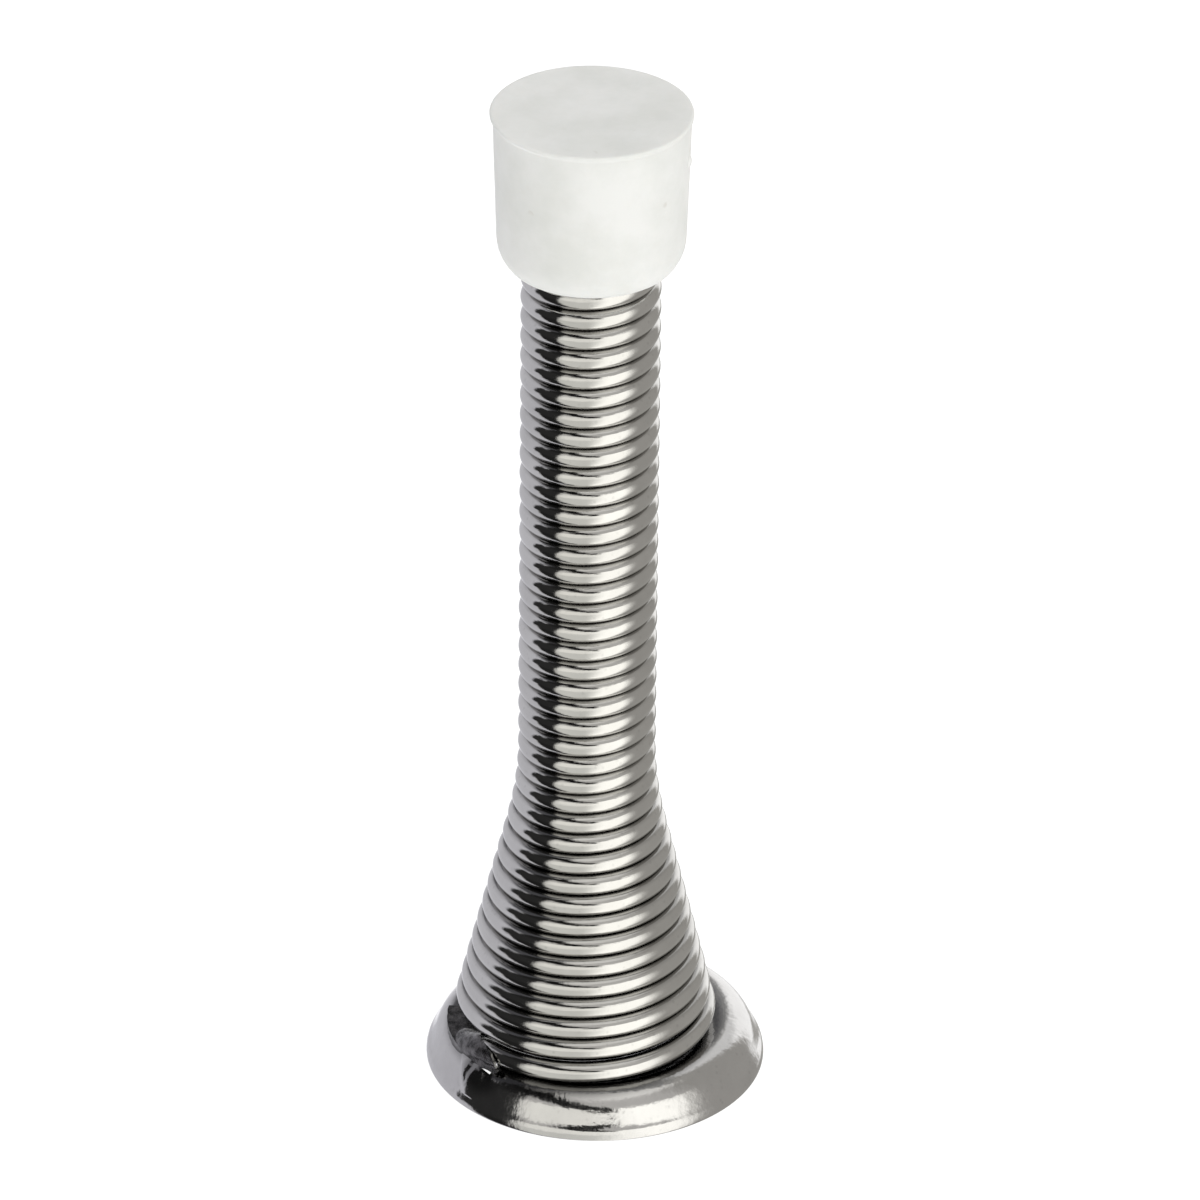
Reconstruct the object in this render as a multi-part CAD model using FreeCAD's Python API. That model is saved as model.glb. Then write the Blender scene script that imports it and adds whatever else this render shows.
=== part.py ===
"""Spring door stop: a coil spring on a pressed round base, with a push-on rubber tip and a wood screw.

Millimetres, +Z up along the stop. The origin is the centre of the base's back face, which is the
face that lies on the wall, skirting board or floor.
"""

import FreeCAD, Part
import math
import os

from FreeCAD import Vector

# Spring wire and coil
wire_diameter = 1.56
turn_gap = 0.035
flare_turn_gap = 0.018
coil_radius = 4.25
spring_top_gap = 0.10
spring_axis_x = -0.81
spring_axis_y = -0.83

# The coil's flared foot: a cone that blends into the straight coil. Its lowest turn keeps this
# margin between the wire's centre and the base plate's edge
foot_margin = 3.475
cone_top = 20.4
flare_top = 27.4

# The wire's lowest turn and the tail that is hooked under the base plate
foot_azimuth = -135.0
seat_gap = 0.07
seat_rise = 1.0
first_turn_gap = 0.09
dive_turns = 0.14
tail_turns = 0.22
tail_gap = 0.14

# Base plate, pressed from sheet. Its screw dish stops this far above the back face
base_radius = 12.5
sheet = 0.8
rim_height = 0.6
dish_back_gap = 0.22
dish_lip = 0.2
slot_clearance = 0.25
slot_end_angle = 5.0

# Wood screw, countersunk head with a cross recess
screw_radius = 2.1
screw_length = 19.0
screw_point_length = 7.0
screw_point_radius = 0.25
screw_hole_clearance = 0.2
screw_head_radius = 4.15
screw_head_edge = 0.35
screw_seat_gap = 0.03
recess_width = 0.9
recess_span = 4.6
recess_depth = 1.5

# Rubber tip, pushed over the spring's last turns, with its wall at the mouth, foot, shoulder and lip
tip_bottom = 66.85
tip_height = 11.85
tip_grip_depth = 9.05
tip_fit_clearance = 0.04
tip_mouth_wall = 1.13
tip_foot_wall = 1.65
tip_foot_height = 1.5
tip_shoulder_wall = 1.97
tip_lip_wall = 2.2
tip_lip_height = 0.45
tip_edge_radius = 0.12

# How the one wire is divided along its length: turns above the slot at which each stretch ends
stretch_ends = {"spring_foot": 3.625, "spring_lower": 13.625, "spring_middle": 22.625, "spring_upper": 31.625}
last_stretch = "spring_crown"

# Points along each turn that carry the wire's centre line
steps_per_turn = 24

wire_radius = wire_diameter / 2
spring_axis = Vector(spring_axis_x, spring_axis_y, 0)
up = Vector(0, 0, 1)
origin = Vector(0, 0, 0)
tip_bore_end = tip_bottom + tip_grip_depth
spring_end_height = tip_bore_end - spring_top_gap - wire_radius
screw_hole_radius = screw_radius + screw_hole_clearance
dish_radius = screw_head_radius + dish_lip
dish_wall_rise = sheet * math.sqrt(2)
base_height = dish_back_gap + dish_wall_rise + dish_radius - screw_hole_radius
seat_height = base_height + wire_radius + seat_gap
second_turn_height = seat_height + wire_diameter + first_turn_gap
foot_radius = base_radius - foot_margin
shoulder = base_height - rim_height
dome_centre = base_radius - shoulder
flare_blend = flare_top - cone_top
flare_slope = (foot_radius - coil_radius) / (flare_blend / 2 + cone_top - seat_height)

# The tail lies under the plate's dome, its wire tail_gap inside the dome's inner face
tail_start = math.radians(foot_azimuth - 360 * dive_turns)
tail_reach = (spring_axis + Vector(math.cos(tail_start), math.sin(tail_start), 0) * foot_radius).Length
tail_room = shoulder - sheet - wire_radius - tail_gap
tail_height = rim_height + math.sqrt(tail_room**2 - max(0, tail_reach - dome_centre) ** 2)


def coil_radius_at(height):
    """Mean coil radius: straight above flare_top, a parabola down to cone_top, then a cone."""
    if height >= flare_top:
        return coil_radius
    if height >= cone_top:
        return coil_radius + flare_slope * (flare_top - height) ** 2 / (2 * flare_blend)
    return coil_radius + flare_slope * (flare_blend / 2 + cone_top - height)


def coil_slope_at(height):
    """How fast the mean coil radius grows downwards at this height."""
    return flare_slope * min(1, max(0, (flare_top - height) / flare_blend))


def hermite(share, start, end, start_slope, end_slope):
    """Cubic from start to end with the given slopes per unit of share."""
    square = share * share
    cube = square * share
    return (
        start * (2 * cube - 3 * square + 1)
        + start_slope * (cube - 2 * square + share)
        + end * (3 * square - 2 * cube)
        + end_slope * (cube - square)
    )


def rise_at(height):
    """Rise of one turn, where turns lie one pitch apart along the coil's slope at this height."""
    gap = turn_gap if height > flare_top else flare_turn_gap
    return (wire_diameter + gap) * math.cos(math.atan(coil_slope_at(height)))


def foot_height(turns):
    """Height of the wire's centre up to the end of its first turn, counted from the slot."""
    if turns <= -dive_turns:
        return tail_height
    if turns <= 0:
        share = 1 + turns / dive_turns
        return hermite(share, tail_height, seat_height, 0, seat_rise * dive_turns)
    return hermite(turns, seat_height, second_turn_height, seat_rise, rise_at(second_turn_height))


def centre_line():
    """Points of the wire's centre from the tail's end to the spring's top, and the slot's index."""
    below = round((dive_turns + tail_turns) * steps_per_turn)
    heights = [foot_height(step / steps_per_turn) for step in range(-below, steps_per_turn + 1)]
    while heights[-1] < spring_end_height:
        heights.append(heights[-1] + rise_at(heights[-1]) / steps_per_turn)
    points = []
    for index, height in enumerate(heights):
        turns = (index - below) / steps_per_turn
        angle = math.radians(foot_azimuth + 360 * turns)
        radius = coil_radius_at(max(height, seat_height))
        points.append(spring_axis + Vector(radius * math.cos(angle), radius * math.sin(angle), height))
    return points, below


def swept_wire(line, start, end):
    """A round wire along the stretch of the centre line between two of its points."""
    stretch = line.copy()
    stretch.segment(line.parameter(start), line.parameter(end))
    circle = Part.makeCircle(wire_radius, start, stretch.tangent(stretch.FirstParameter)[0])
    pipe = Part.BRepOffsetAPI.MakePipeShell(Part.Wire([stretch.toShape()]))
    pipe.setFrenetMode(True)
    pipe.add(Part.Wire([circle]))
    pipe.build()
    pipe.makeSolid()
    return pipe.shape()


def spring_stretches():
    """Each stretch of the wire by name. One stretch starts where the one before it ends."""
    points, slot = centre_line()
    line = Part.BSplineCurve()
    line.interpolate(points)
    stretches = {}
    start = points[0]
    for name, end_turns in stretch_ends.items():
        end = points[slot + round(end_turns * steps_per_turn)]
        stretches[name] = swept_wire(line, start, end)
        start = end
    stretches[last_stretch] = swept_wire(line, start, points[-1])
    return stretches


def arc(centre, radius, start_angle, end_angle):
    """Arc edge in the XZ plane, with angles in degrees from +X towards +Z."""
    ends = []
    for angle in (start_angle, (start_angle + end_angle) / 2, end_angle):
        turn = math.radians(angle)
        ends.append(centre + Vector(radius * math.cos(turn), 0, radius * math.sin(turn)))
    return Part.Arc(*ends).toShape()


def path(points):
    """Straight edges from each (radius, height) to the next."""
    corners = [Vector(radius, 0, height) for radius, height in points]
    return [Part.makeLine(a, b) for a, b in zip(corners, corners[1:])]


def turned(edges):
    """The solid that the closed outline of edges makes when turned about the Z axis."""
    outline = Part.Wire(Part.__sortEdges__(edges))
    return Part.Face(outline).revolve(origin, up, 360)


def screw_seat_height(radius):
    """Height of the dished, 45 degree seat under the screw's head at this radius."""
    return base_height + radius - dish_radius


def spring_slot():
    """The slot through the plate, along the wire's way down through it."""
    inner = coil_radius_at(seat_height) - wire_radius - slot_clearance
    width = wire_diameter + 2 * slot_clearance
    above = base_height + wire_diameter
    corners = [(inner, 0), (inner + width, 0), (inner + width, above), (inner, above)]
    section = Part.Face(Part.Wire(path(corners + corners[:1])))
    sweep = 360 * dive_turns + 2 * slot_end_angle
    slot = section.revolve(origin, up, sweep)
    slot.rotate(origin, up, foot_azimuth + slot_end_angle - sweep)
    slot.translate(spring_axis)
    return slot


def base_plate():
    """Domed plate of even thickness with a dished screw hole and a slot for the wire."""
    centre = Vector(dome_centre, 0, rim_height)
    hole = screw_hole_radius
    hole_top = screw_seat_height(hole)
    under = base_height - sheet
    under_edge = dish_radius + dish_wall_rise - sheet
    top = [(hole, hole_top), (dish_radius, base_height), (centre.x, base_height)]
    rim = [
        (base_radius, rim_height),
        (base_radius, 0),
        (base_radius - sheet, 0),
        (base_radius - sheet, rim_height),
    ]
    bottom = [
        (centre.x, under),
        (under_edge, under),
        (hole, hole_top - dish_wall_rise),
        (hole, hole_top),
    ]
    edges = path(top) + path(rim) + path(bottom)
    edges.append(arc(centre, shoulder, 0, 90))
    edges.append(arc(centre, shoulder - sheet, 0, 90))
    return turned(edges).cut(spring_slot())


def wood_screw():
    """Countersunk screw, its head seated in the plate's dish and its point below the plate."""
    head_bottom = screw_seat_height(screw_radius) + screw_seat_gap
    head_edge = screw_seat_height(screw_head_radius) + screw_seat_gap
    head_top = head_edge + screw_head_edge
    point = head_top - screw_length
    outline = [
        (0, head_top),
        (screw_head_radius, head_top),
        (screw_head_radius, head_edge),
        (screw_radius, head_bottom),
        (screw_radius, point + screw_point_length),
        (screw_point_radius, point),
        (0, point),
        (0, head_top),
    ]
    screw = turned(path(outline))
    for length, width in ((recess_span, recess_width), (recess_width, recess_span)):
        corner = Vector(-length / 2, -width / 2, head_top - recess_depth)
        screw = screw.cut(Part.makeBox(length, width, recess_depth, corner))
    return screw


def rubber_tip():
    """Tapered cap with a thin moulded lip round its face and a blind bore for the spring."""
    bore = coil_radius + wire_radius + tip_fit_clearance
    top = tip_bottom + tip_height
    outline = [
        (0, tip_bore_end),
        (bore, tip_bore_end),
        (bore, tip_bottom),
        (bore + tip_mouth_wall, tip_bottom),
        (bore + tip_foot_wall, tip_bottom + tip_foot_height),
        (bore + tip_shoulder_wall, top - tip_lip_height),
        (bore + tip_lip_wall, top - tip_edge_radius),
        (bore + tip_lip_wall - tip_edge_radius, top),
        (0, top),
        (0, tip_bore_end),
    ]
    tip = turned(path(outline))
    tip.translate(spring_axis)
    return tip


pieces = {"base_flange": base_plate(), "fixing_screw": wood_screw(), "rubber_tip": rubber_tip()}
pieces.update(spring_stretches())

os.makedirs("parts", exist_ok=True)
for name, shape in pieces.items():
    shape.exportStep(f"parts/{name}.step")
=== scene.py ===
"""Spring door stop: chromed coil spring on a pressed round base, white rubber tip and a wood screw."""

import math

import bmesh
import bpy
from mathutils import Matrix, Vector, noise


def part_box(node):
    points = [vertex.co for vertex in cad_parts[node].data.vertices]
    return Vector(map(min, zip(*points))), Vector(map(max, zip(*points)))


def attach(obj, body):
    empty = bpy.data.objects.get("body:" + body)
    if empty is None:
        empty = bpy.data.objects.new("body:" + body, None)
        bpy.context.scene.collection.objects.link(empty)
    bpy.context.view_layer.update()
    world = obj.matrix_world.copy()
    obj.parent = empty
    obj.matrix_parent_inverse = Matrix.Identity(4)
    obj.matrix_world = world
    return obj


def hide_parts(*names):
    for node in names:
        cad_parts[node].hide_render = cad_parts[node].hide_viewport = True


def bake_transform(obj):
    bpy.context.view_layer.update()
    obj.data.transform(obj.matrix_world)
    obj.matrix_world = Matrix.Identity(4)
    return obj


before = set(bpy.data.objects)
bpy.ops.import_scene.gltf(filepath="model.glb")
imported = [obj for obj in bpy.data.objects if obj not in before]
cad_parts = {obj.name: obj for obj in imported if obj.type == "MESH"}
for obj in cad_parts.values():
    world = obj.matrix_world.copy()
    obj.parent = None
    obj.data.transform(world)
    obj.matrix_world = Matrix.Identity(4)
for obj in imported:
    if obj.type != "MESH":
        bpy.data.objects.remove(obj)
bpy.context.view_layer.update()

MM = 0.001
TAU = 2 * math.pi

# Where things are, from the CAD frame
_, plate_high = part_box("base_flange")
tip_low, tip_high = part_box("rubber_tip")
screw_low, screw_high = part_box("fixing_screw")
AXIS = Vector(((tip_low[0] + tip_high[0]) / 2, (tip_low[1] + tip_high[1]) / 2, 0))
BASE_RADIUS = plate_high[0] / MM
BASE_HEIGHT = plate_high[2] / MM

# The spring's wire, in millimetres, as the CAD model winds it
WIRE_RADIUS = 0.78
TURN_GAP = 0.035
FLARE_TURN_GAP = 0.018
COIL_RADIUS = 4.25
CONE_TOP = 20.4
FLARE_TOP = 27.4
FLARE_BLEND = FLARE_TOP - CONE_TOP
FOOT_MARGIN = 3.475
FOOT_RADIUS = BASE_RADIUS - FOOT_MARGIN
FOOT_AZIMUTH = -135.0
SHEET = 0.8
SEAT_GAP = 0.07
SEAT_HEIGHT = BASE_HEIGHT + WIRE_RADIUS + SEAT_GAP
SEAT_RISE = 1.0
FIRST_TURN_GAP = 0.09
SECOND_TURN_HEIGHT = SEAT_HEIGHT + 2 * WIRE_RADIUS + FIRST_TURN_GAP
FLARE_SLOPE = (FOOT_RADIUS - COIL_RADIUS) / (FLARE_BLEND / 2 + CONE_TOP - SEAT_HEIGHT)
TAIL_GAP = 0.14
TAIL_HEIGHT = BASE_HEIGHT - SHEET - WIRE_RADIUS - TAIL_GAP
DIVE_TURNS = 0.14
TAIL_TURNS = 0.22
BORE_DEPTH = 9.05
SPRING_TOP_GAP = 0.1
SPRING_END = tip_low[2] / MM + BORE_DEPTH - SPRING_TOP_GAP - WIRE_RADIUS
STEPS_PER_TURN = 72
RING_POINTS = 22

# The base plate
RIM_HEIGHT = 0.6
DISH_RADIUS = 4.35
HOLE_RADIUS = 2.3
SLOT_CLEARANCE = 0.1
SLOT_END_ANGLE = 1.0
PLATE_SEGMENTS = 384

# The wood screw
SCREW_RADIUS = 2.1
HEAD_RADIUS = 4.15
HEAD_EDGE = 0.35
RECESS_DEPTH = 1.5
SCREW_SEGMENTS = 72


def smooth(share):
    """0 to 1 with level ends."""
    share = min(1.0, max(0.0, share))
    return share * share * (3 - 2 * share)


def polar(radius, degrees, height, centre=AXIS):
    """Point in metres at this radius and azimuth about a vertical axis, from millimetres."""
    turn = math.radians(degrees)
    return centre + Vector((radius * math.cos(turn), radius * math.sin(turn), height)) * MM


def mesh_object(name, points, faces, material):
    """A new smooth-shaded mesh object."""
    mesh = bpy.data.meshes.new(name)
    mesh.from_pydata([tuple(point) for point in points], [], faces)
    mesh.update()
    mesh.shade_smooth()
    mesh.materials.append(material)
    piece = bpy.data.objects.new(name, mesh)
    bpy.context.scene.collection.objects.link(piece)
    return piece


def grid_faces(rows, columns, closed_rows=False, closed_columns=False, start=0):
    """Quads over a grid of points stored row by row."""
    faces = []
    for row in range(rows if closed_rows else rows - 1):
        below = start + row * columns
        above = start + (row + 1) % rows * columns
        for column in range(columns if closed_columns else columns - 1):
            beside = (column + 1) % columns
            faces.append((below + column, below + beside, above + beside, above + column))
    return faces


def sharpen(piece, degrees):
    """Marks the edges that turn by more than this as sharp."""
    piece.data.set_sharp_from_angle(angle=math.radians(degrees))


# ---------------------------------------------------------------- materials

# A Mix node's colour sockets, by index, because several of its sockets share a name
MIX_A = 6
MIX_B = 7
MIX_RESULT = 2


def node_adder(tree):
    """A function that adds a node to this tree, with its settings and its inputs set or wired."""

    def add(kind, inputs=None, **settings):
        node = tree.nodes.new(kind)
        for key, value in settings.items():
            setattr(node, key, value)
        for key, value in (inputs or {}).items():
            if isinstance(value, bpy.types.NodeSocket):
                tree.links.new(value, node.inputs[key])
            else:
                node.inputs[key].default_value = value
        return node

    return add


def new_material(name):
    """A node material with its shader, and the functions that add and wire its nodes."""
    material = bpy.data.materials.new(name)
    material.use_nodes = True
    tree = material.node_tree
    return material, tree.nodes["Principled BSDF"], node_adder(tree), tree.links.new


def chrome(name, colour, roughness, painted_shade):
    """Bright plating: patches of duller film, fine grain, shallow pits, and painted shade where it is given.
    """
    material, shader, add, link = new_material(name)
    where = add("ShaderNodeTexCoord").outputs["Object"]
    film = add("ShaderNodeTexNoise", {"Vector": where, "Scale": 260.0, "Detail": 4.0, "Roughness": 0.6})
    grain = add("ShaderNodeTexNoise", {"Vector": where, "Scale": 3200.0, "Detail": 3.0, "Roughness": 0.7})
    pits = add("ShaderNodeTexVoronoi", {"Vector": where, "Scale": 1500.0, "Randomness": 1.0})
    depth = add("ShaderNodeMapRange", {"Value": pits.outputs["Distance"], "From Min": 0.05, "From Max": 0.25})
    tone = add("ShaderNodeValToRGB", {"Fac": film.outputs["Fac"]})
    tone.color_ramp.elements[0].position = 0.3
    tone.color_ramp.elements[0].color = [part * 0.88 for part in colour] + [1]
    tone.color_ramp.elements[1].position = 0.7
    tone.color_ramp.elements[1].color = list(colour) + [1]
    pitted = add("ShaderNodeMix", {"Factor": depth.outputs["Result"]}, data_type="RGBA")
    pitted.inputs[MIX_A].default_value = [part * 0.86 for part in colour] + [1]
    link(tone.outputs["Color"], pitted.inputs[MIX_B])
    # Painted shade: where the given mask falls to nothing, the colour is darkened to a third.
    undarkened = painted_shade(add)
    shaded_colour = add("ShaderNodeMix", {"Factor": undarkened}, data_type="RGBA")
    shaded_colour.inputs[MIX_A].default_value = [part * 0.34 for part in colour] + [1]
    link(pitted.outputs[MIX_RESULT], shaded_colour.inputs[MIX_B])
    link(shaded_colour.outputs[MIX_RESULT], shader.inputs["Base Color"])
    dull = add(
        "ShaderNodeMapRange",
        {
            "Value": grain.outputs["Fac"],
            "From Min": 0.35,
            "From Max": 0.75,
            "To Min": roughness,
            "To Max": roughness * 2,
        },
    )
    link(dull.outputs["Result"], shader.inputs["Roughness"])
    shader.inputs["Metallic"].default_value = 1.0
    fine = add("ShaderNodeBump", {"Height": grain.outputs["Fac"], "Strength": 0.3, "Distance": 0.000012})
    pit_bump = add(
        "ShaderNodeBump",
        {
            "Height": depth.outputs["Result"],
            "Strength": 0.12,
            "Distance": 0.00001,
            "Normal": fine.outputs["Normal"],
        },
    )
    return material, shader, add, link, pit_bump.outputs["Normal"]


def wire_chrome():
    """Plated wire: drawn lines along it, and painted shade where one turn lies on the next and on its inner
    side.
    """

    def painted_shade(add):
        # Painted shade: darker from the top and bottom of the wire, where one turn lies on the next, round to
        # its inner side.
        place = add("ShaderNodeTexCoord")
        across = add("ShaderNodeSeparateXYZ", {"Vector": place.outputs["UV"]})
        undarkened = add("ShaderNodeMapRange", {"Value": across.outputs["Y"], "From Min": 0.47, "From Max": 0.78})
        undarkened.interpolation_type = "SMOOTHSTEP"
        return undarkened.outputs["Result"]

    material, shader, add, link, normal = chrome("spring_wire", (0.65, 0.64, 0.62), 0.045, painted_shade)
    place = add("ShaderNodeTexCoord")
    along = add("ShaderNodeMapping", {"Vector": place.outputs["UV"], "Scale": (0.5, 22.0, 1.0)})
    drawn = add("ShaderNodeTexNoise", {"Vector": along.outputs["Vector"], "Scale": 1.4, "Detail": 4.0})
    lines = add(
        "ShaderNodeBump",
        {"Height": drawn.outputs["Fac"], "Strength": 0.35, "Distance": 0.000022, "Normal": normal},
    )
    link(lines.outputs["Normal"], shader.inputs["Normal"])
    return material


def plate_chrome():
    """Plated sheet: orange-peel ripple from the press, a ring of painted shadow where the coil is seated, and
    painted shade round the tear by the slot.
    """

    def painted_shade(add):
        place = add("ShaderNodeTexCoord")
        from_axis = add(
            "ShaderNodeVectorMath", {0: place.outputs["Object"], 1: tuple(AXIS)}, operation="SUBTRACT"
        )
        flat = add("ShaderNodeVectorMath", {0: from_axis.outputs[0], 1: (1, 1, 0)}, operation="MULTIPLY")
        reach = add("ShaderNodeVectorMath", {0: flat.outputs[0]}, operation="LENGTH")
        # Painted shadow: a dark ring on the plate round the coil's seat.
        seat = (FOOT_RADIUS + WIRE_RADIUS) * MM
        undarkened = add(
            "ShaderNodeMapRange",
            {"Value": reach.outputs["Value"], "From Min": seat - 0.1 * MM, "From Max": seat + 0.75 * MM},
        )
        undarkened.interpolation_type = "SMOOTHSTEP"
        # Painted shade: darker round the point where the wire dives under the torn plate.
        tear = tuple(polar(10.0, -138, 3.3))
        near = add("ShaderNodeVectorMath", {0: place.outputs["Object"], 1: tear}, operation="DISTANCE")
        tear_shade = add(
            "ShaderNodeMapRange",
            {"Value": near.outputs["Value"], "From Min": 1.3 * MM, "From Max": 2.6 * MM},
        )
        tear_shade.interpolation_type = "SMOOTHSTEP"
        both = add(
            "ShaderNodeMath", {0: undarkened.outputs["Result"], 1: tear_shade.outputs["Result"]}, operation="MINIMUM"
        )
        return both.outputs["Value"]

    material, shader, add, link, normal = chrome("plated_steel", (0.64, 0.63, 0.62), 0.09, painted_shade)
    where = add("ShaderNodeTexCoord").outputs["Object"]
    peel = add("ShaderNodeTexNoise", {"Vector": where, "Scale": 1500.0, "Detail": 2.0})
    swell = add("ShaderNodeTexNoise", {"Vector": where, "Scale": 330.0, "Detail": 1.0})
    small = add(
        "ShaderNodeBump",
        {"Height": peel.outputs["Fac"], "Strength": 0.8, "Distance": 0.00003, "Normal": normal},
    )
    large = add(
        "ShaderNodeBump",
        {
            "Height": swell.outputs["Fac"],
            "Strength": 0.4,
            "Distance": 0.0001,
            "Normal": small.outputs["Normal"],
        },
    )
    out = add("ShaderNodeVectorMath", {0: where, 1: (1, 1, 0)}, operation="MULTIPLY")
    reach = add("ShaderNodeVectorMath", {0: out.outputs[0]}, operation="LENGTH")
    rings = add(
        "ShaderNodeTexNoise",
        {"W": reach.outputs["Value"], "Scale": 5200.0, "Detail": 2.0},
        noise_dimensions="1D",
    )
    turned = add(
        "ShaderNodeBump",
        {
            "Height": rings.outputs["Fac"],
            "Strength": 0.4,
            "Distance": 0.00001,
            "Normal": large.outputs["Normal"],
        },
    )
    link(turned.outputs["Normal"], shader.inputs["Normal"])
    return material


def torn_plate():
    """Torn plating, dull and painted near black as shade under the wire, with lighter scratches."""
    material, shader, add, link = new_material("torn_plate")
    where = add("ShaderNodeTexCoord").outputs["Object"]
    tear_shade = add("ShaderNodeTexNoise", {"Vector": where, "Scale": 1400.0, "Detail": 5.0, "Roughness": 0.7})
    # Painted shade: the torn skin is coloured near black, as the shade between the wire and the crease,
    # mottled lighter.
    tone = add("ShaderNodeValToRGB", {"Fac": tear_shade.outputs["Fac"]})
    tone.color_ramp.elements[0].position = 0.35
    tone.color_ramp.elements[0].color = (0.02, 0.02, 0.02, 1)
    tone.color_ramp.elements[1].position = 0.75
    tone.color_ramp.elements[1].color = (0.26, 0.25, 0.25, 1)
    link(tone.outputs["Color"], shader.inputs["Base Color"])
    shader.inputs["Metallic"].default_value = 1.0
    rough = add("ShaderNodeMapRange", {"Value": tear_shade.outputs["Fac"], "To Min": 0.35, "To Max": 0.15})
    link(rough.outputs["Result"], shader.inputs["Roughness"])
    bump = add("ShaderNodeBump", {"Height": tear_shade.outputs["Fac"], "Strength": 0.6, "Distance": 0.00006})
    link(bump.outputs["Normal"], shader.inputs["Normal"])
    return material


def rubber():
    """White moulded rubber: matt, faintly mottled, with a few dark specks and a fine skin."""
    material, shader, add, link = new_material("white_rubber")
    where = add("ShaderNodeTexCoord").outputs["Object"]
    cloud = add("ShaderNodeTexNoise", {"Vector": where, "Scale": 170.0, "Detail": 5.0, "Roughness": 0.65})
    tone = add("ShaderNodeValToRGB", {"Fac": cloud.outputs["Fac"]})
    tone.color_ramp.elements[0].position = 0.32
    tone.color_ramp.elements[0].color = (0.755, 0.765, 0.74, 1)
    tone.color_ramp.elements[1].position = 0.6
    tone.color_ramp.elements[1].color = (0.83, 0.835, 0.82, 1)
    speck = add("ShaderNodeTexVoronoi", {"Vector": where, "Scale": 480.0, "Randomness": 1.0})
    keep = add("ShaderNodeMapRange", {"Value": speck.outputs["Distance"], "From Min": 0.03, "From Max": 0.16})
    some = add("ShaderNodeTexNoise", {"Vector": where, "Scale": 330.0, "Detail": 1.0})
    where_dirty = add("ShaderNodeMapRange", {"Value": some.outputs["Fac"], "From Min": 0.6, "From Max": 0.72})
    undarkened = add("ShaderNodeMath", {0: 1.0, 1: where_dirty.outputs["Result"]}, operation="SUBTRACT")
    mark = add(
        "ShaderNodeMath", {0: keep.outputs["Result"], 1: undarkened.outputs["Value"]}, operation="MAXIMUM"
    )
    mixed = add("ShaderNodeMix", data_type="RGBA")
    link(mark.outputs["Value"], mixed.inputs["Factor"])
    mixed.inputs[MIX_A].default_value = (0.62, 0.60, 0.55, 1)
    link(tone.outputs["Color"], mixed.inputs[MIX_B])
    link(mixed.outputs[MIX_RESULT], shader.inputs["Base Color"])
    skin = add("ShaderNodeTexNoise", {"Vector": where, "Scale": 2600.0, "Detail": 3.0})
    rough = add("ShaderNodeMapRange", {"Value": cloud.outputs["Fac"], "To Min": 0.5, "To Max": 0.68})
    link(rough.outputs["Result"], shader.inputs["Roughness"])
    shader.inputs["Specular IOR Level"].default_value = 0.35
    shader.inputs["Subsurface Weight"].default_value = 0.15
    shader.inputs["Subsurface Radius"].default_value = (1.0, 0.9, 0.8)
    shader.inputs["Subsurface Scale"].default_value = 0.0008
    low = add("ShaderNodeBump", {"Height": cloud.outputs["Fac"], "Strength": 0.25, "Distance": 0.0001})
    fine = add(
        "ShaderNodeBump",
        {
            "Height": skin.outputs["Fac"],
            "Strength": 0.3,
            "Distance": 0.00002,
            "Normal": low.outputs["Normal"],
        },
    )
    link(fine.outputs["Normal"], shader.inputs["Normal"])
    return material


def screw_steel():
    """Zinc-bright steel with turning marks round the shank."""
    material, shader, add, link = new_material("screw_steel")
    where = add("ShaderNodeTexCoord").outputs["Object"]
    lathe = add("ShaderNodeMapping", {"Vector": where, "Scale": (300.0, 300.0, 6000.0)})
    marks = add("ShaderNodeTexNoise", {"Vector": lathe.outputs["Vector"], "Scale": 1.0, "Detail": 3.0})
    tone = add("ShaderNodeValToRGB", {"Fac": marks.outputs["Fac"]})
    tone.color_ramp.elements[0].color = (0.42, 0.42, 0.43, 1)
    tone.color_ramp.elements[1].color = (0.66, 0.66, 0.67, 1)
    link(tone.outputs["Color"], shader.inputs["Base Color"])
    shader.inputs["Metallic"].default_value = 1.0
    rough = add("ShaderNodeMapRange", {"Value": marks.outputs["Fac"], "To Min": 0.25, "To Max": 0.45})
    link(rough.outputs["Result"], shader.inputs["Roughness"])
    bump = add("ShaderNodeBump", {"Height": marks.outputs["Fac"], "Strength": 0.3, "Distance": 0.00003})
    link(bump.outputs["Normal"], shader.inputs["Normal"])
    return material


# ------------------------------------------------------------------- spring


def coil_radius_at(height):
    """Mean coil radius in millimetres: a cone, blended by a parabola into the straight coil."""
    if height >= FLARE_TOP:
        return COIL_RADIUS
    if height >= CONE_TOP:
        return COIL_RADIUS + FLARE_SLOPE * (FLARE_TOP - height) ** 2 / (2 * FLARE_BLEND)
    return COIL_RADIUS + FLARE_SLOPE * (FLARE_BLEND / 2 + CONE_TOP - height)


def hermite(share, start, end, start_slope, end_slope):
    """Cubic from start to end with the given slopes per unit of share."""
    square = share * share
    cube = square * share
    return (
        start * (2 * cube - 3 * square + 1)
        + start_slope * (cube - 2 * square + share)
        + end * (3 * square - 2 * cube)
        + end_slope * (cube - square)
    )


def rise_at(height):
    """Rise of one turn at this height."""
    gap = TURN_GAP if height > FLARE_TOP else FLARE_TURN_GAP
    slope = FLARE_SLOPE * min(1, max(0, (FLARE_TOP - height) / FLARE_BLEND))
    return (2 * WIRE_RADIUS + gap) * math.cos(math.atan(slope))


def foot_height(turns):
    """Height of the wire's centre up to the end of its first turn, counted from the slot."""
    if turns <= -DIVE_TURNS:
        return TAIL_HEIGHT
    if turns <= 0:
        share = 1 + turns / DIVE_TURNS
        return hermite(share, TAIL_HEIGHT, SEAT_HEIGHT, 0, SEAT_RISE * DIVE_TURNS)
    return hermite(turns, SEAT_HEIGHT, SECOND_TURN_HEIGHT, SEAT_RISE, rise_at(SECOND_TURN_HEIGHT))


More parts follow.
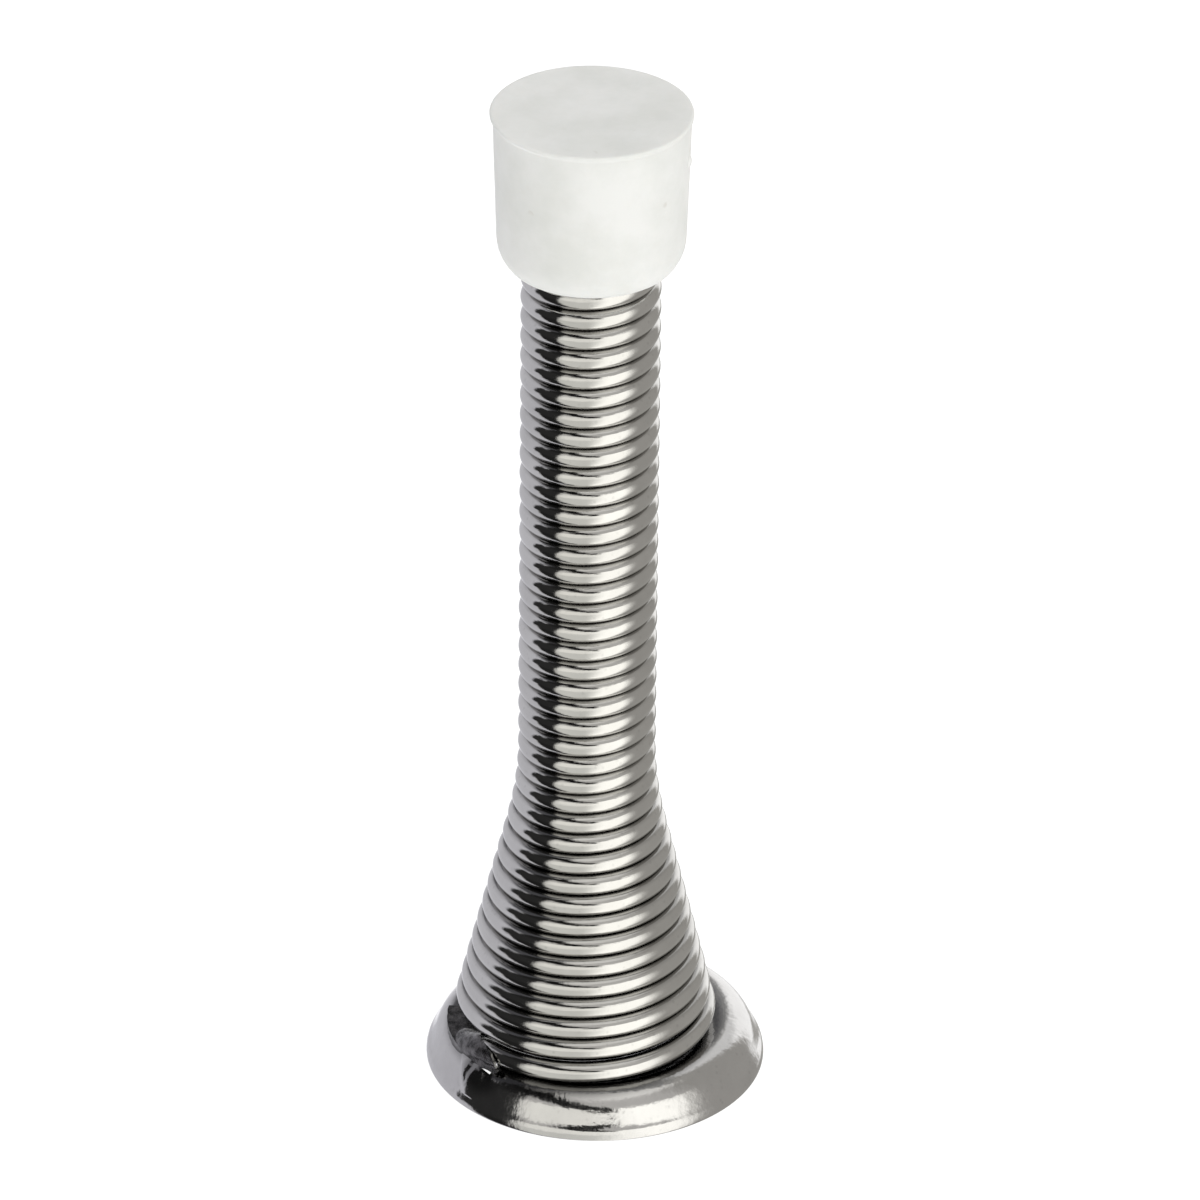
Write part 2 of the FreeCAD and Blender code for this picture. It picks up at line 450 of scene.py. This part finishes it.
def centre_line():
    """(radius, azimuth, height) along the wire from the tail's end to the spring's top."""
    below = round((DIVE_TURNS + TAIL_TURNS) * STEPS_PER_TURN)
    heights = [foot_height(step / STEPS_PER_TURN) for step in range(-below, STEPS_PER_TURN + 1)]
    while heights[-1] < SPRING_END:
        heights.append(heights[-1] + rise_at(heights[-1]) / STEPS_PER_TURN)
    line = []
    for index, height in enumerate(heights):
        azimuth = FOOT_AZIMUTH + 360 * (index - below) / STEPS_PER_TURN
        line.append((coil_radius_at(max(height, SEAT_HEIGHT)), azimuth, height))
    return line


def wire_piece(name, line, first, last, material):
    """A round wire through the line's points first to last, with closed ends."""
    points = []
    centres = [polar(*entry) for entry in line]
    for index in range(first, last + 1):
        along = (centres[min(index + 1, len(line) - 1)] - centres[max(index - 1, 0)]).normalized()
        outward = polar(1, line[index][1], 0, Vector()).normalized()
        outward = (outward - along * outward.dot(along)).normalized()
        upward = outward.cross(along)
        if upward.z < 0:
            upward = -upward
        for step in range(RING_POINTS):
            turn = TAU * step / RING_POINTS
            arm = outward * math.cos(turn) + upward * math.sin(turn)
            points.append(centres[index] + arm * WIRE_RADIUS * MM)
    rows = last - first + 1
    faces = grid_faces(rows, RING_POINTS, closed_columns=True)
    faces.append(tuple(reversed(range(RING_POINTS))))
    faces.append(tuple(range((rows - 1) * RING_POINTS, rows * RING_POINTS)))
    piece = mesh_object(name, points, faces, material)
    layer = piece.data.uv_layers.new(name="wire")
    step_length = TAU * COIL_RADIUS / STEPS_PER_TURN
    for loop in piece.data.loops:
        row, column = divmod(loop.vertex_index, RING_POINTS)
        layer.data[loop.index].uv = ((first + row) * step_length, abs(2 * column / RING_POINTS - 1))
    fix_normals(piece)
    return piece


def fix_normals(piece):
    """Turns all faces outwards."""
    work = bmesh.new()
    work.from_mesh(piece.data)
    bmesh.ops.recalc_face_normals(work, faces=work.faces)
    work.to_mesh(piece.data)
    work.free()


def spring(material):
    """The one wire as four lengths, with their seams at the back."""
    line = centre_line()

    # name, the two bodies, heights at which its bend starts and ends, and the nodes that it replaces
    lengths = [
        ("spring_wire_foot", "base", "coil_lower", 6.0, 21.4, ("spring_foot", "spring_lower")),
        ("spring_wire_lower", "coil_lower", "coil_middle", 21.4, 35.8, ("spring_middle",)),
        ("spring_wire_upper", "coil_middle", "coil_upper", 35.8, 50.2, ("spring_upper",)),
        ("spring_wire_crown", "coil_upper", "coil_crown", 50.2, 66.0, ("spring_crown",)),
    ]
    first = 0
    at_back = [index for index, entry in enumerate(line) if abs((entry[1] - 90) % 360) < 1e-6]
    for name, body_a, body_b, start, end, nodes in lengths:
        if body_b == "coil_crown":
            last = len(line) - 1
        else:
            last = min(at_back, key=lambda index: abs(line[index][2] - end))
        piece = wire_piece(name, line, first, last, material)
        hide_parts(*nodes)
        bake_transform(piece)
        first = last


# --------------------------------------------------------------- base plate


def arc_points(centre_radius, centre_height, radius, start, end, steps):
    """(radius, height) along an arc of an outline, ends included."""
    points = []
    for step in range(steps + 1):
        turn = math.radians(start + (end - start) * step / steps)
        points.append((centre_radius + radius * math.cos(turn), centre_height + radius * math.sin(turn)))
    return points


def lathe(name, outline, segments, material, centre):
    """A closed ring or solid turned from (radius, height) points. Points on the axis are shared."""
    points = []
    rows = []
    for radius, height in outline:
        if radius < 1e-6:
            rows.append([len(points)] * segments)
            points.append(polar(0, 0, height, centre))
            continue
        rows.append(list(range(len(points), len(points) + segments)))
        points.extend(polar(radius, 360 * step / segments, height, centre) for step in range(segments))
    faces = []
    closed = outline[0][0] > 1e-6
    for index in range(len(rows) if closed else len(rows) - 1):
        below = rows[index]
        above = rows[(index + 1) % len(rows)]
        for step in range(segments):
            beside = (step + 1) % segments
            corners = [below[step], below[beside], above[beside], above[step]]
            face = [corner for place, corner in enumerate(corners) if corner not in corners[:place]]
            if len(face) > 2:
                faces.append(tuple(face))
    piece = mesh_object(name, points, faces, material)
    fix_normals(piece)
    return piece


def spaced(start, end, steps):
    """Points between two (radius, height) points, the first included and the last left out."""
    return [
        (start[0] + (end[0] - start[0]) * step / steps, start[1] + (end[1] - start[1]) * step / steps)
        for step in range(steps)
    ]


def pressed_face():
    """(radius, height) down the outer face from the flat seat to the rim, worked from its slope.

    Each stretch has its length and the rise of the face's normal above level at its two ends. A
    shallow pressed groove runs round above the rim.
    """
    stretches = [
        (2.88, 90, 24),
        (0.75, 24, 26),
        (0.10, 26, 31),
        (0.36, 31, 36),
        (0.10, 36, 26),
        (0.58, 26, 0),
    ]
    steps = 12
    points = [(0.0, 0.0)]
    for length, first, last in stretches:
        for step in range(steps):
            rise = math.radians(first + (last - first) * (step + 0.5) / steps)
            radius, height = points[-1]
            part = length / steps
            points.append((radius + part * math.sin(rise), height - part * math.cos(rise)))
    start = BASE_RADIUS - points[-1][0]
    return [(start + radius, BASE_HEIGHT + height) for radius, height in points]


def plate_outline():
    """The plate's section: dish, flat seat, pressed face, rim, and the underside a sheet below."""
    shoulder = BASE_HEIGHT - RIM_HEIGHT
    middle = BASE_RADIUS - shoulder
    face = pressed_face()
    rise = SHEET * math.sqrt(2)
    under = BASE_HEIGHT - SHEET
    seat = BASE_HEIGHT + HOLE_RADIUS - DISH_RADIUS
    outline = spaced((HOLE_RADIUS, seat), (DISH_RADIUS - 0.15, BASE_HEIGHT - 0.15), 4)
    outline += arc_points(DISH_RADIUS + 0.06, BASE_HEIGHT - 0.36, 0.36, 135, 90, 3)
    outline += spaced((DISH_RADIUS + 0.4, BASE_HEIGHT), face[0], 24) + face
    outline += arc_points(BASE_RADIUS - 0.18, 0.18, 0.18, 0, -80, 5)
    outline += arc_points(BASE_RADIUS - SHEET + 0.18, 0.18, 0.18, -100, -180, 4)
    outline += arc_points(middle, RIM_HEIGHT, shoulder - SHEET, 0, 90, 16)
    outline += spaced((middle - 0.2, under), (DISH_RADIUS + rise - SHEET, under), 8)
    outline += spaced((DISH_RADIUS + rise - SHEET, under), (HOLE_RADIUS, seat - rise), 4)
    outline.append((HOLE_RADIUS, seat - rise))
    return outline


def slot_cutter(material):
    """The slot that the wire goes down through, as a closed curved block."""
    inner = coil_radius_at(SEAT_HEIGHT) - WIRE_RADIUS - SLOT_CLEARANCE
    outer = inner + 2 * (WIRE_RADIUS + SLOT_CLEARANCE)
    sweep = 360 * DIVE_TURNS + 2 * SLOT_END_ANGLE
    start = FOOT_AZIMUTH + SLOT_END_ANGLE - sweep
    below = 0.9
    above = 6.0
    steps = 48
    points = []
    for step in range(steps + 1):
        azimuth = start + sweep * step / steps
        corners = [(inner, below), (outer, below), (outer, above), (inner, above)]
        points.extend(polar(radius, azimuth, height) for radius, height in corners)
    faces = grid_faces(steps + 1, 4, closed_columns=True)
    faces.append((3, 2, 1, 0))
    faces.append(tuple(range(4 * steps, 4 * steps + 4)))
    cutter = mesh_object("slot_cutter", points, faces, material)
    fix_normals(cutter)
    return cutter


def cut(piece, cutter):
    """Takes the cutter away from the piece, and removes the cutter."""
    modifier = piece.modifiers.new("cut", "BOOLEAN")
    modifier.operation = "DIFFERENCE"
    modifier.solver = "EXACT"
    modifier.object = cutter
    apply_modifiers(piece)
    bpy.data.objects.remove(cutter)


def apply_modifiers(piece):
    """Makes the piece's modifiers part of its mesh."""
    graph = bpy.context.evaluated_depsgraph_get()
    mesh = bpy.data.meshes.new_from_object(piece.evaluated_get(graph))
    piece.modifiers.clear()
    piece.data = mesh


def wire_at(azimuth):
    """(radius, height) of the lowest turn's centre at an azimuth near the slot."""
    height = foot_height((azimuth - FOOT_AZIMUTH) / 360)
    return coil_radius_at(SEAT_HEIGHT), height


def hood(material, torn):
    """The torn tongue of plate that arches over the wire where it dives, with a ragged mouth.

    Its section is swept round the wire from the outside, past the crown to the coil's side. The
    skin is torn metal, and the edges that close it are plated.
    """
    wall = 0.2
    inside = WIRE_RADIUS + 0.09
    buried = 0.16
    start = -188.0
    angles = [*range(-78, -30, 12), *range(-30, 120, 10), 125, 140, 155]
    steps = 56
    points = []
    for reach_out in (inside + wall, inside):
        for angle in angles:
            share = smooth((angle - 5) / 105)
            coarse = 3.2 * noise.noise(Vector((angle * 0.11, 3.7, 0)))
            fine = 1.8 * noise.noise(Vector((angle * 0.37, 9.1, 0)))
            mouth = -131.0 - 19.0 * share + (coarse + fine)
            for step in range(steps + 1):
                azimuth = start + (mouth - start) * step / steps
                radius, height = wire_at(azimuth)
                turn = math.radians(angle)
                crumple = 0.05 * noise.noise(Vector((azimuth * 0.3, angle * 0.05, 1.0)))
                reach = reach_out + crumple + 0.05 * (1 - share)
                out = reach * math.cos(turn)
                up = height + reach * math.sin(turn)
                if angle < 0:
                    out = max(out, 0.9 * reach_out)
                else:
                    up = max(up, BASE_HEIGHT - buried + reach_out - inside)
                points.append(polar(radius + out, azimuth, up))
    count = len(angles)
    columns = steps + 1
    faces = grid_faces(count, columns)
    faces += [tuple(reversed(face)) for face in grid_faces(count, columns, start=count * columns)]
    border = list(range(columns))
    border += [row * columns + columns - 1 for row in range(1, count)]
    border += [(count - 1) * columns + column for column in range(columns - 2, -1, -1)]
    border += [row * columns for row in range(count - 2, 0, -1)]
    inner = count * columns
    for one, two in zip(border, border[1:] + border[:1]):
        faces.append((one, two, two + inner, one + inner))
    piece = mesh_object("hood", points, faces, torn)
    piece.data.materials.append(material)
    for face in piece.data.polygons:
        face.material_index = int(face.index >= len(faces) - len(border))
    fix_normals(piece)
    sharpen(piece, 40)
    return piece


def face_height(radius, face):
    """Height of the plate's outer face at this radius from the plate's centre, in millimetres."""
    for (inner, top), (outer, bottom) in zip(face, face[1:]):
        if inner <= radius <= outer:
            return top + (bottom - top) * (radius - inner) / (outer - inner)
    return BASE_HEIGHT


def dent_plate(piece):
    """Swells the plate beside the slot, with a hard crease at one end, as the punch left it."""
    lowest = 0.9
    innermost = 8.5
    height = 0.26
    face = pressed_face()
    for vertex in piece.data.vertices:
        flat = Vector((vertex.co.x, vertex.co.y)) / MM
        radius = flat.length
        if vertex.co.z < lowest * MM or radius < innermost:
            continue
        if vertex.co.z / MM <= face_height(radius, face) - 0.2:
            continue
        azimuth = math.degrees(math.atan2(flat.y, flat.x))
        crease = -156.0 + 7.8 * (radius - 10.6)
        along = smooth((azimuth - crease) / 1.5) * smooth((-132 - azimuth) / 8.0)
        across = smooth((radius - 9.9) / 0.7) * smooth((12.5 - radius) / 0.6)
        rough = 0.06 * noise.noise(Vector((azimuth * 0.5, radius * 2.0, 5.0)))
        lift = (height + rough) * along * across
        vertex.co += Vector((flat.x / radius * 0.3, flat.y / radius * 0.3, 1.0)) * lift * MM


def base_plate(material, torn):
    """The pressed plate with its screw dish, its slot and the torn metal round the slot."""
    plate = lathe("base_plate", plate_outline(), PLATE_SEGMENTS, material, Vector())
    cut(plate, slot_cutter(material))
    dent_plate(plate)
    sharpen(plate, 35)
    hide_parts("base_flange")
    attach(plate, "base")
    flap = hood(material, torn)
    flap.name = "wire_hood"
    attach(flap, "base")


# ------------------------------------------------------------------- screw


def screw_face(radius, top):
    """Rings of the head's face from its middle outwards, sunk where the cross recess is."""
    rings = 40
    half_width = 0.47
    reach = 2.3
    rows = []
    for ring in range(1, rings + 1):
        at = radius * ring / rings
        row = []
        for step in range(SCREW_SEGMENTS):
            turn = TAU * step / SCREW_SEGMENTS
            x = at * math.cos(turn)
            y = at * math.sin(turn)
            arm = max(abs(x), abs(y))
            width = min(abs(x), abs(y))
            inside = smooth((half_width - width) / 0.06) * smooth((reach - arm) / 0.08)
            depth = inside * (RECESS_DEPTH - 0.45 * arm / reach)
            row.append(Vector((x, y, top - depth)) * MM)
        rows.append(row)
    return rows


def screw_thread(top, bottom):
    """Rings down the thread, which grows out of the shank and tapers to the point."""
    core = 1.5
    core_end = 0.12
    pitch = 1.8
    point_length = 7.0
    rings_per_turn = 14
    count = int((top - bottom) / pitch * rings_per_turn)
    rows = []
    for index in range(1, count + 1):
        height = top - (top - bottom) * index / count
        taper = min(1.0, (height - bottom) / point_length)
        grow = smooth((top - height) / 1.5)
        body = core_end + (core - core_end) * smooth(taper * 1.25) ** 0.7
        row = []
        for step in range(SCREW_SEGMENTS):
            phase = (height / pitch + step / SCREW_SEGMENTS) % 1.0
            ridge = max(0.0, 1 - abs(phase - 0.5) / 0.28)
            crest = body + (SCREW_RADIUS - core) * ridge * grow * smooth(taper * 4)
            row.append(polar(min(SCREW_RADIUS, crest), 360 * step / SCREW_SEGMENTS, height, Vector()))
        rows.append(row)
    return rows


def screw_piece(material):
    """Countersunk wood screw with a rolled thread and a cross recess."""
    top = screw_high[2] / MM
    bottom = screw_low[2] / MM
    under_edge = top - HEAD_EDGE
    neck = under_edge - (HEAD_RADIUS - SCREW_RADIUS)
    thread_top = neck - 4.5
    outline = [
        (HEAD_RADIUS, top - 0.08),
        (HEAD_RADIUS, under_edge + 0.03),
        (HEAD_RADIUS - 0.05, under_edge - 0.03),
    ]
    outline += spaced((HEAD_RADIUS - 0.1, under_edge - 0.1), (SCREW_RADIUS, neck), 6)
    outline += [(SCREW_RADIUS * 0.97, height) for height in (neck, neck - 1.5, neck - 3.0, thread_top)]
    grid = screw_face(HEAD_RADIUS - 0.08, top)
    for at, height in outline:
        grid.append(
            [polar(at, 360 * step / SCREW_SEGMENTS, height, Vector()) for step in range(SCREW_SEGMENTS)]
        )
    grid += screw_thread(thread_top, bottom)
    points = [point for row in grid for point in row]
    last = len(points) - SCREW_SEGMENTS
    centre = len(points)
    points.append(Vector((0, 0, top - RECESS_DEPTH)) * MM)
    tip = len(points)
    points.append(Vector((0, 0, bottom)) * MM)
    faces = grid_faces(len(grid), SCREW_SEGMENTS, closed_columns=True)
    for step in range(SCREW_SEGMENTS):
        beside = (step + 1) % SCREW_SEGMENTS
        faces.append((centre, step, beside))
        faces.append((tip, last + beside, last + step))
    piece = mesh_object("wood_screw", points, faces, material)
    fix_normals(piece)
    sharpen(piece, 40)
    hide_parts("fixing_screw")
    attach(piece, "base")


# --------------------------------------------------------------- rubber tip


def tip_outline(low, high, lip):
    """The cap's section: blind bore, rounded mouth and foot, tapered side, flash lip and face."""
    bore = 5.07
    bore_end = low + BORE_DEPTH
    outline = [(0, bore_end), (bore - 0.8, bore_end), (bore - 0.2, bore_end - 0.05), (bore, bore_end - 0.3)]
    outline += spaced((bore, bore_end - 1.0), (bore, low + 0.4), 6)
    outline += [(bore, low + 0.25), (bore + 0.08, low + 0.08), (bore + 0.28, low)]
    outline += [(5.75, low + 0.02), (6.02, low + 0.2), (6.28, low + 0.55), (6.5, low + 0.95)]
    outline += [(6.66, low + 1.4), (6.735, low + 1.85), (6.76, low + 2.3)]
    outline += spaced((6.775, low + 2.8), (7.03, high - 0.6), 10)
    outline += [(7.045, high - 0.5), (7.07, high - 0.4), (7.14, high - 0.34), (7.22, high - 0.28)]
    outline += [(lip, high - 0.2), (lip, high - 0.12), (7.2, high - 0.03), (7.08, high - 0.005)]
    return outline + spaced((6.9, high), (0.6, high - 0.03), 10) + [(0, high - 0.03)]


def wear_tip(piece, high):
    """Makes the flash lip ragged and widest on one side, and swells the side a little unevenly."""
    lip_root = 7.05
    widest = 165
    for vertex in piece.data.vertices:
        flat = vertex.co - AXIS
        radius = math.hypot(flat.x, flat.y) / MM
        azimuth = math.atan2(flat.y, flat.x)
        if radius > lip_root + 0.01 and vertex.co.z / MM > high - 0.45:
            away = (math.degrees(azimuth) - widest) % 360
            spread = 0.55 + 0.45 * smooth(1 - min(away, 360 - away) / 110)
            ragged = 0.04 * noise.noise(Vector((math.cos(azimuth) * 6, math.sin(azimuth) * 6, 2)))
            target = lip_root + (radius - lip_root) * max(0.0, spread + ragged)
            vertex.co.x = AXIS.x + flat.x * target / radius
            vertex.co.y = AXIS.y + flat.y * target / radius
        elif radius > 5.5:
            swell = 0.02 * noise.noise(Vector((flat.x, flat.y, flat.z)) * 260)
            vertex.co.x += flat.x / radius * swell
            vertex.co.y += flat.y / radius * swell


def tip_piece(material):
    """Moulded cap: soft foot, tapered side, thin flash lip round the face and a small vent nub."""
    high = tip_high[2] / MM
    lip = (tip_high[0] - tip_low[0]) / 2 / MM
    piece = lathe("rubber_cap", tip_outline(tip_low[2] / MM, high, lip), 128, material, AXIS)
    wear_tip(piece, high)
    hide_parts("rubber_tip")
    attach(piece, "tip")
    nub(material, high)


def nub(material, high):
    """The mould's vent mark, a low round pip on the cap's side."""
    rings = 6
    segments = 20
    azimuth = -12
    centre = polar(6.93, azimuth, high - 3.1)
    out = polar(1, azimuth, 0, Vector()).normalized()
    side = Vector((-out.y, out.x, 0))
    points = []
    for ring in range(rings):
        lift = math.sin(ring / (rings - 1) * math.pi / 2)
        reach = math.cos(ring / (rings - 1) * math.pi / 2) * 0.42 + 0.02
        for step in range(segments):
            turn = TAU * step / segments
            arm = side * math.cos(turn) + Vector((0, 0, 1.25)) * math.sin(turn)
            points.append(centre + arm * reach * MM + out * (lift * 0.34 - 0.1) * MM)
    faces = grid_faces(rings, segments, closed_columns=True)
    faces.append(tuple(range(segments)))
    faces.append(tuple(range((rings - 1) * segments, rings * segments)))
    piece = mesh_object("vent_nub", points, faces, material)
    fix_normals(piece)
    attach(piece, "tip")


# --------------------------------------------------------- camera and light


def camera():
    """The view: thirty degrees above the floor, a long lens, and a slight roll."""
    data = bpy.data.cameras.new("camera")
    data.lens = 307.7
    data.sensor_width = 36.0
    data.clip_end = 20.0
    data.dof.use_dof = False
    view = bpy.data.objects.new("camera", data)
    bpy.context.scene.collection.objects.link(view)
    elevation = math.radians(30)
    distance = 0.7409
    aim = AXIS + Vector((0.86, 0.0, 39.04)) * MM
    back = Vector((0, -math.cos(elevation), math.sin(elevation)))
    place = aim + back * distance
    turn = back.to_track_quat("Z", "Y").to_matrix().to_4x4()
    roll = Matrix.Rotation(math.radians(0.565), 4, "Z")
    view.matrix_world = Matrix.Translation(place) @ turn @ roll
    bpy.context.scene.camera = view


def floor():
    """A plain pale floor, left out of mirror reflections so that the studio shows in the plating."""
    material, shader, _, _ = new_material("pale_floor")
    shader.inputs["Base Color"].default_value = (0.3, 0.3, 0.3, 1)
    shader.inputs["Roughness"].default_value = 0.9
    shader.inputs["Specular IOR Level"].default_value = 0.0
    shader.inputs["Emission Color"].default_value = (1, 1, 1, 1)
    shader.inputs["Emission Strength"].default_value = 0.9
    size = 4.0
    corners = [(-size, -size, 0), (size, -size, 0), (size, size, 0), (-size, size, 0)]
    plane = mesh_object("floor", corners, [(0, 1, 2, 3)], material)
    plane.visible_glossy = False


def studio():
    """Soft light all round, as pale and dark cards at their bearings from the camera's side."""
    world = bpy.data.worlds.new("studio")
    bpy.context.scene.world = world
    world.use_nodes = True
    tree = world.node_tree
    tree.nodes.clear()
    add = node_adder(tree)

    def maths(operation, *values):
        return add("ShaderNodeMath", dict(enumerate(values)), operation=operation).outputs[0]

    def edge(value, at, soft):
        node = add("ShaderNodeMapRange", {"Value": value, "From Min": at - soft, "From Max": at + soft})
        node.interpolation_type = "SMOOTHSTEP"
        return node.outputs["Result"]

    def between(value, low, high, soft):
        below = edge(value, low, soft)
        above = edge(maths("MULTIPLY", value, -1.0), -high, soft)
        return maths("MULTIPLY", below, above)

    def card_over(colour, cover, shade, label):
        inputs = {"Factor": cover, MIX_A: colour, MIX_B: (*shade, 1)}
        return add("ShaderNodeMix", inputs, data_type="RGBA", label=label).outputs[MIX_RESULT]

    direction = add("ShaderNodeTexCoord").outputs["Generated"]
    parts = add("ShaderNodeSeparateXYZ", {"Vector": direction})
    x, y, z = parts.outputs
    bearing = maths("MULTIPLY", maths("ARCTAN2", x, maths("MULTIPLY", y, -1.0)), 180 / math.pi)
    height = maths("MULTIPLY", maths("ARCSINE", z), 180 / math.pi)

    # name, bearing from and to, height from and to, softness of the sides, of top and bottom, colour
    cards = [
        ("left wall", -181, -88, -91, 91, 4, 4, (0.66, 0.66, 0.71)),
        ("behind left", -190, -165, -91, 6, 8, 4, (1.1, 1.1, 1.14)),
        ("upper left", -166, -80, 40, 76, 6, 6, (0.10, 0.10, 0.11)),
        ("front table", -52, 40, -91, 25, 6, 2, (0.82, 0.82, 0.78)),
        ("front table, far edge", -48, 30, -4, 30, 5, 2, (1.1, 1.09, 1.03)),
        ("front right table", 12, 70, -91, 30, 18, 2, (1.62, 1.61, 1.54)),
        ("right wall", 70, 165, -91, 91, 14, 4, (0.42, 0.41, 0.39)),
        ("behind right", 168, 181, -91, 30, 8, 4, (1.0, 1.0, 1.0)),
        ("behind right, low", 136, 172, -16, 32, 5, 4, (1.3, 1.3, 1.3)),
        ("behind right, high", 136, 168, 28, 62, 6, 6, (0.85, 0.85, 0.85)),
        ("behind left, high", -190, -152, 12, 80, 6, 6, (0.22, 0.22, 0.24)),
        ("behind, high", 170, 190, 16, 80, 6, 6, (0.3, 0.3, 0.3)),
        ("overhead front", -60, 100, 60, 91, 10, 6, (0.95, 0.94, 0.91)),
        ("overhead back", -181, -100, 66, 91, 10, 6, (0.3, 0.3, 0.3)),
        ("overhead back, right", 100, 181, 66, 91, 10, 6, (0.3, 0.3, 0.3)),
        ("left flag", -87, -54, -91, 64, 3, 6, (0.02, 0.02, 0.02)),
        ("left flag, wide part", -98, -54, -14, 34, 3, 4, (0.03, 0.03, 0.03)),
    ]
    colour = (0.62, 0.61, 0.59, 1)
    for name, left, right, bottom, top, side_soft, end_soft, shade in cards:
        across = between(bearing, left, right, side_soft)
        up = between(height, bottom, top, end_soft)
        colour = card_over(colour, maths("MULTIPLY", across, up), shade, name)

    # The dark gap at the camera, whose two edges slope across the view
    lower = maths("ADD", height, maths("MULTIPLY", bearing, 0.42))
    upper = maths("ADD", height, maths("MULTIPLY", bearing, 0.62))
    across = maths("MULTIPLY", edge(bearing, -66, 6), edge(maths("MULTIPLY", bearing, -1.0), -15, 3))
    up = maths("MULTIPLY", edge(lower, 24, 2), edge(maths("MULTIPLY", upper, -1.0), -39, 2))
    colour = card_over(colour, maths("MULTIPLY", across, up), (0.01, 0.01, 0.01), "camera slit")

    lit = add("ShaderNodeBackground", {"Color": colour, "Strength": 1.0})
    plain = add("ShaderNodeBackground", {"Color": (1, 1, 1, 1), "Strength": 1.0})
    seen = add("ShaderNodeLightPath").outputs["Is Camera Ray"]
    both = add("ShaderNodeMixShader", {0: seen, 1: lit.outputs[0], 2: plain.outputs[0]})
    add("ShaderNodeOutputWorld", {"Surface": both.outputs[0]})


def lamp(name, place, size, power, colour):
    """A soft lamp that lights the rubber and the floor, and doesn't show in the plating."""
    data = bpy.data.lights.new(name, "AREA")
    data.shape = "DISK"
    data.size = size
    data.energy = power
    data.color = colour
    light = bpy.data.objects.new(name, data)
    bpy.context.scene.collection.objects.link(light)
    light.location = place
    light.rotation_euler = (Vector(place) - Vector((0, 0, 0.05))).to_track_quat("Z", "Y").to_euler()
    light.visible_glossy = False


def lamps():
    """Two soft lamps: one in front on the right and one high up."""
    lamp("front_right", (0.5, -0.8, 0.35), 0.7, 0.35, (1.0, 0.99, 0.96))
    lamp("overhead", (0.0, -0.1, 1.2), 0.8, 5.2, (1.0, 1.0, 1.0))


camera()
floor()
studio()
lamps()
spring(wire_chrome())
base_plate(plate_chrome(), torn_plate())
screw_piece(screw_steel())
tip_piece(rubber())
bpy.context.scene.view_settings.view_transform = "Standard"
